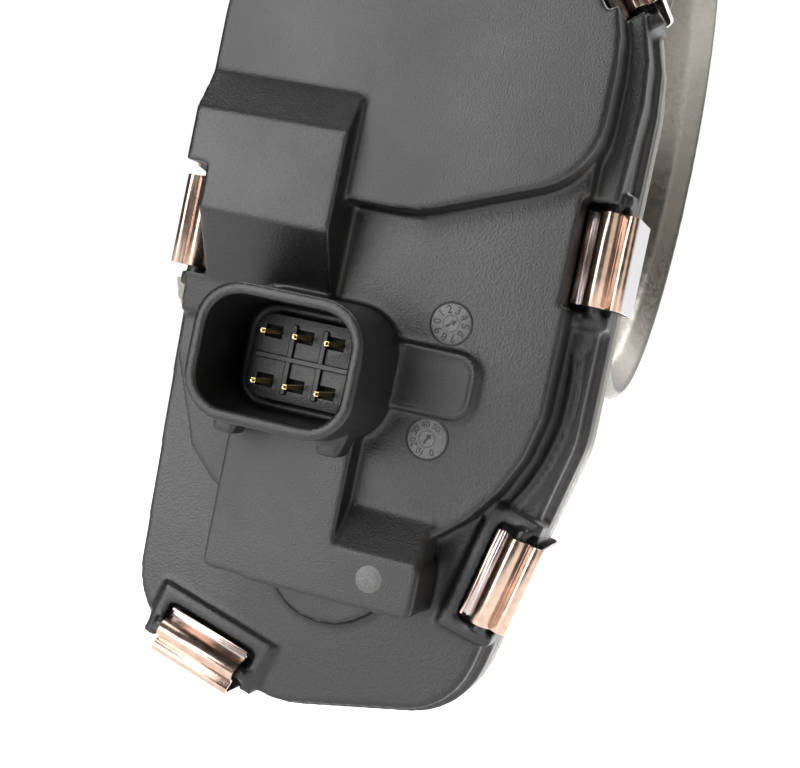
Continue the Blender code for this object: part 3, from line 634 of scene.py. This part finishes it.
def clip(name, centre, outward):
    """A bent strip, as (out of the rim, height) points, that hooks under the casting."""
    inner_lip = [(-6.1, 57.5), (-5.7, 56.6), (-5.1, 56.3)]
    first_roll = [(-4.4, 57.2), (-3.9, 58.9), (-2.8, 59.8), (-1.7, 59.2), (-1.0, 58.1)]
    second_roll = [(-0.3, 58.3), (0.5, 58.6), (1.2, 57.9)]
    leg = [(1.3, 56.4), (1.3, 50.0), (1.3, 43.6)]
    hook = [(0.9, 41.9), (0.0, 41.3), (-1.2, 41.3), (-2.5, 41.5)]
    path = inner_lip + first_roll + second_roll + leg + hook
    shape = bmesh.new()
    half = CLIP_LENGTH / 2
    rows = []
    for x, y in smooth_path(path):
        rows.append([shape.verts.new((x * MM, y * MM, z * MM)) for z in (-half, half)])
    for a, b in zip(rows, rows[1:]):
        shape.faces.new((a[0], a[1], b[1], b[0]))
    mesh = bpy.data.meshes.new(name)
    shape.to_mesh(mesh)
    shape.free()
    strip = linked(f"clip_strip_{name}", mesh, rim_frame(centre, outward))
    thick = strip.modifiers.new("thick", "SOLIDIFY")
    thick.thickness = CLIP_THICK * MM
    thick.offset = 0.0
    edge = strip.modifiers.new("edge", "BEVEL")
    edge.width = CLIP_EDGE * MM
    edge.segments = 2
    edge.limit_method = "ANGLE"
    edge.angle_limit = math.radians(50)
    strip = baked(strip)
    strip.data.set_sharp_from_angle(angle=math.radians(40))
    on_housing(strip, "spring_steel", replaces=[f"cover_clip_{name}"])


# ---------------------------------------------------------------- the casting and what stays


def housing():
    casting = moulded("housing_casting", "throttle_housing", CASTING_VOXEL)
    on_housing(casting, "cast_aluminium", replaces=["throttle_housing"])


def repaint_nodes():
    """The CAD pieces that stay get the detailed materials."""
    slots = {part["node"]: part["material_slot"] for part in frame["record"]["subparts"]}
    for name, obj in frame["nodes"].items():
        obj.data.materials.clear()
        obj.data.materials.append(MATERIALS[slots[name]])
        obj.data.shade_smooth()
        obj.data.set_sharp_from_angle(angle=math.radians(35))


# ---------------------------------------------------------------- surroundings


def area_light(name, place, size, watts, aim=LIGHTS_AIM, colour=(1.0, 1.0, 1.0)):
    data = bpy.data.lights.new(name, "AREA")
    data.shape = "RECTANGLE"
    data.size, data.size_y = size
    data.energy = watts
    data.color = colour
    obj = bpy.data.objects.new(name, data)
    bpy.context.scene.collection.objects.link(obj)
    obj.location = place
    obj.visible_camera = False
    obj.rotation_mode = "QUATERNION"
    obj.rotation_quaternion = (Vector(aim) - Vector(place)).to_track_quat("-Z", "Y")


def surroundings():
    world = bpy.data.worlds.new("studio")
    bpy.context.scene.world = world
    world.use_nodes = True
    tree = world.node_tree
    seen = tree.nodes.new("ShaderNodeBackground")
    seen.inputs["Color"].default_value = (1.0, 1.0, 1.0, 1.0)
    seen.inputs["Strength"].default_value = 1.05
    room = tree.nodes["Background"]
    room.inputs["Color"].default_value = (0.93, 0.95, 1.0, 1.0)
    room.inputs["Strength"].default_value = 0.08
    path = tree.nodes.new("ShaderNodeLightPath")
    mix = tree.nodes.new("ShaderNodeMixShader")
    tree.links.new(path.outputs["Is Camera Ray"], mix.inputs["Fac"])
    tree.links.new(room.outputs["Background"], mix.inputs[1])
    tree.links.new(seen.outputs["Background"], mix.inputs[2])
    tree.links.new(mix.outputs["Shader"], tree.nodes["World Output"].inputs["Surface"])
    shape = bmesh.new()
    bmesh.ops.create_circle(shape, cap_ends=True, radius=FLOOR_RADIUS, segments=64)
    mesh = bpy.data.meshes.new("floor")
    shape.to_mesh(mesh)
    shape.free()
    floor = linked("floor", mesh, Matrix.Translation((0.04, 0.0, CAD_BOX[0].z - FLOOR_DROP)))
    material, _, _ = new_material("floor_white", (0.92, 0.92, 0.92), 0.7)
    floor.data.materials.append(material)
    area_light("key", (-0.30, -0.75, 0.05), (0.5, 0.7), 6.8)
    area_light("upper_right", (0.02, -0.72, 0.40), (0.25, 0.25), 1.3)
    area_light("side", (0.70, -0.25, 0.0), (0.4, 0.8), 1.2, colour=(1.0, 0.96, 0.88))
    area_light("backdrop", (0.20, 0.70, 0.10), (1.2, 1.0), 3.4)
    area_light("floor_wash", (0.04, 0.8, 1.3), (2.0, 2.0), 75.0, aim=(0.04, 0.7, -0.2))
    bpy.context.scene.view_settings.view_transform = "Standard"


camera()
repaint_nodes()
gear_cover()
housing()
socket_insert()
dial("month_dial", DIAL_X, MONTH_Z, "0123456789", 180.0, 36.0, 35.0, 1.75)
dial("batch_dial", DIAL_X, BATCH_Z, ("0", "10", "20", "30", "40", "50"), -60.0, 48.0, 60.0, 1.35)
gate_mark()
for clip_name, (clip_centre, clip_outward) in clip_places().items():
    clip(clip_name, clip_centre, clip_outward)
surroundings()
